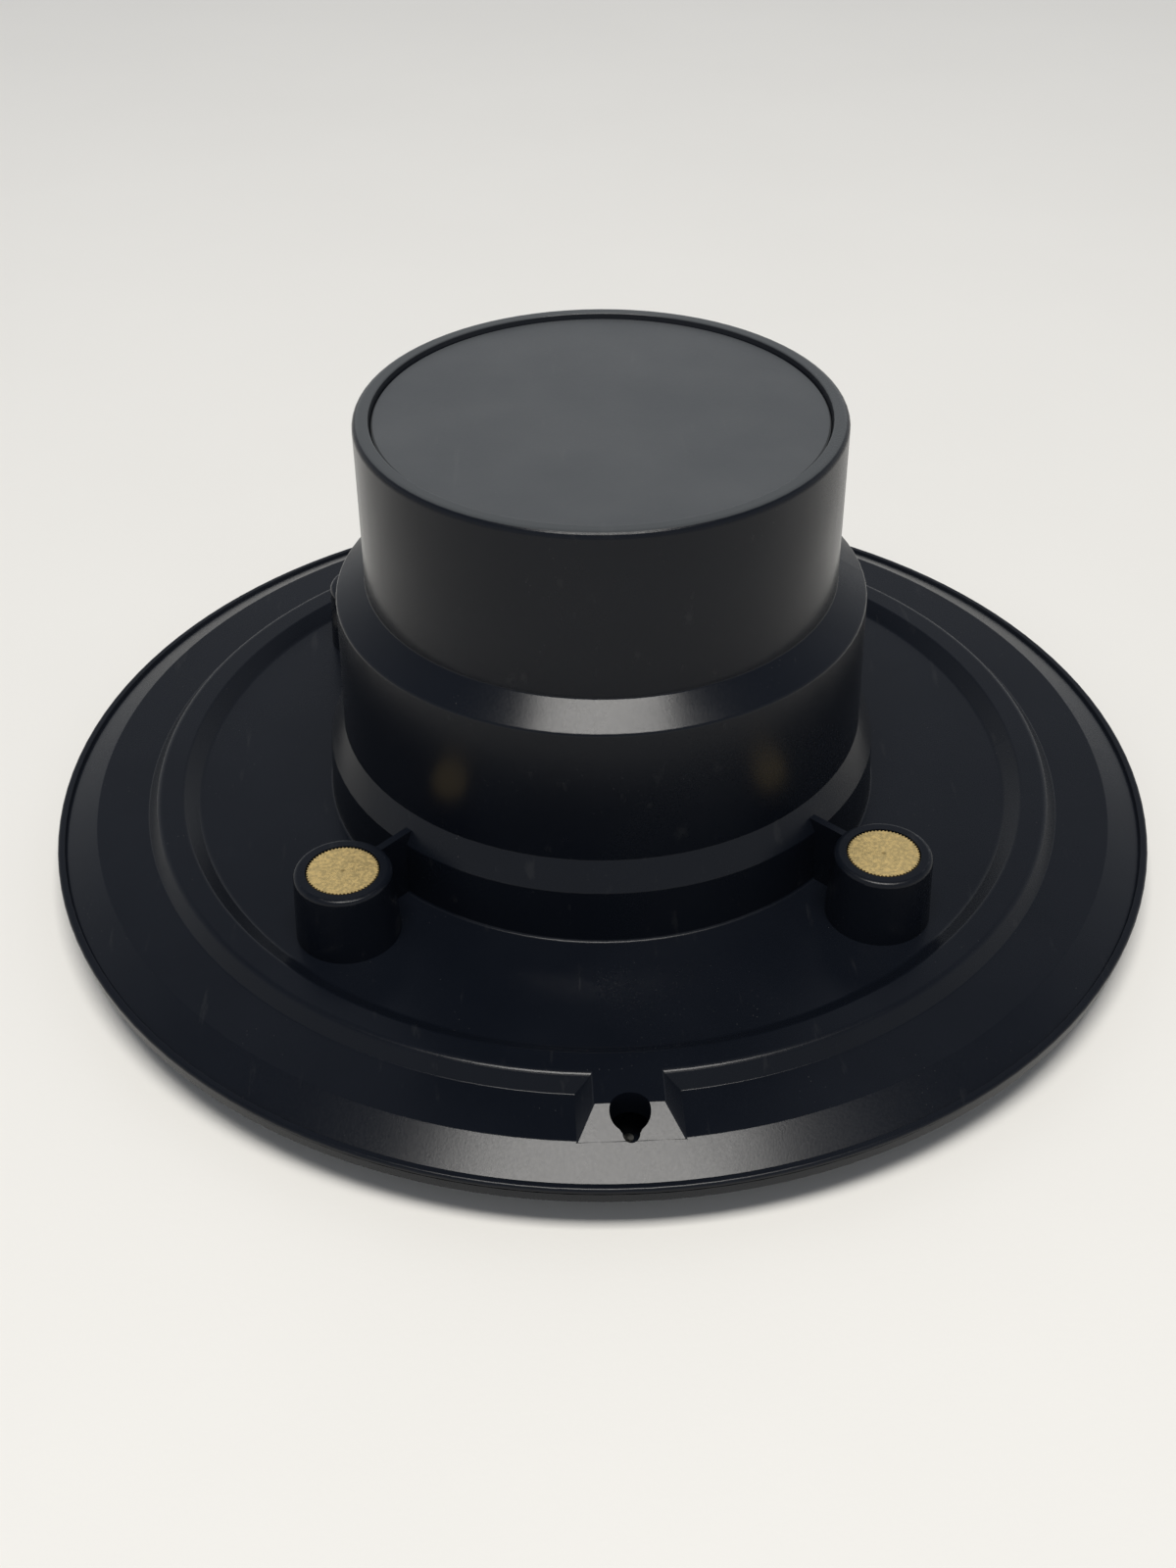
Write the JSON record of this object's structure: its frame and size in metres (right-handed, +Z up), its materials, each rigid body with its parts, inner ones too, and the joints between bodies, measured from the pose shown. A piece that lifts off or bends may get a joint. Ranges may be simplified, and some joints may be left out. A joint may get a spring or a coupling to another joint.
{
  "type": "horn loudspeaker",
  "caption": "Compact re-entrant horn loudspeaker: a round flanged black housing with a stepped hub and cap, brass-insert bosses, keyholes, grilled bell, folded horn and compression driver.",
  "frame": {"origin": "centre of the rubber ring that the speaker stands on, at the supporting surface", "axes": "+Z up along the horn's axis from the mouth to the hub's cap, -Y towards the keyhole that faces forward"},
  "size_m": [0.304, 0.304, 0.1275],
  "materials": {
    "housing_plastic": "fine satin texture, black",
    "cap_plastic": "satin charcoal, faintly speckled",
    "insert_brass": "matte turned and knurled brass",
    "seal_rubber": "moulded black rubber",
    "bell_plastic": "fine satin texture, black",
    "grille_paint": "powder-coated black, fine orange peel",
    "horn_plastic": "smooth dark grey plastic",
    "cast_aluminium": "die-cast, unfinished",
    "plug_plastic": "smooth moulded",
    "tinned_brass": "tinned",
    "dome_metal": "thin drawn foil",
    "amber_film": "translucent amber film",
    "copper_wire": "enamelled copper winding",
    "plated_steel": "zinc plated",
    "ferrite": "ground ferrite",
    "core_steel": "stacked laminations",
    "winding_tape": "yellow winding tape",
    "block_plastic": "smooth moulded green",
    "screw_steel": "zinc plated"
  },
  "bodies": {
    "loudspeaker": {"rear_housing": "housing_plastic", "rear_cap": "cap_plastic", "cap_seal": "seal_rubber", "brass_inserts": "insert_brass", "cable_grommet": "seal_rubber", "front_bell": "bell_plastic", "rim_gasket": "seal_rubber", "bumper_ring": "seal_rubber", "front_grille": "grille_paint", "reflector_cup": "horn_plastic", "throat_horn": "horn_plastic", "throat_gasket": "seal_rubber", "driver_cover": "cast_aluminium", "phase_plug": "plug_plastic", "diaphragm_carrier": "plug_plastic", "driver_terminals": "tinned_brass", "top_plate": "plated_steel", "ring_magnet": "ferrite", "yoke": "plated_steel", "transformer_bracket": "plated_steel", "transformer_core": "core_steel", "transformer_winding": "winding_tape", "terminal_block": "block_plastic", "terminal_screws": "screw_steel", "bracket_screws": "screw_steel", "driver_screws": "screw_steel", "throat_screws": "screw_steel", "housing_screws": "screw_steel", "reflector_screws": "screw_steel", "grille_screws": "screw_steel"},
    "diaphragm": {"diaphragm_dome": "dome_metal", "diaphragm_surround": "amber_film", "coil_former": "amber_film", "voice_coil": "copper_wire"}
  },
  "joints": [
    {"name": "diaphragm_travel", "type": "slide", "parent": "loudspeaker", "child": "diaphragm", "axis": [0, 0, 1], "range_m": [-0.0004, 0.0004], "stiffness_N_per_m": 3000}
  ]
}
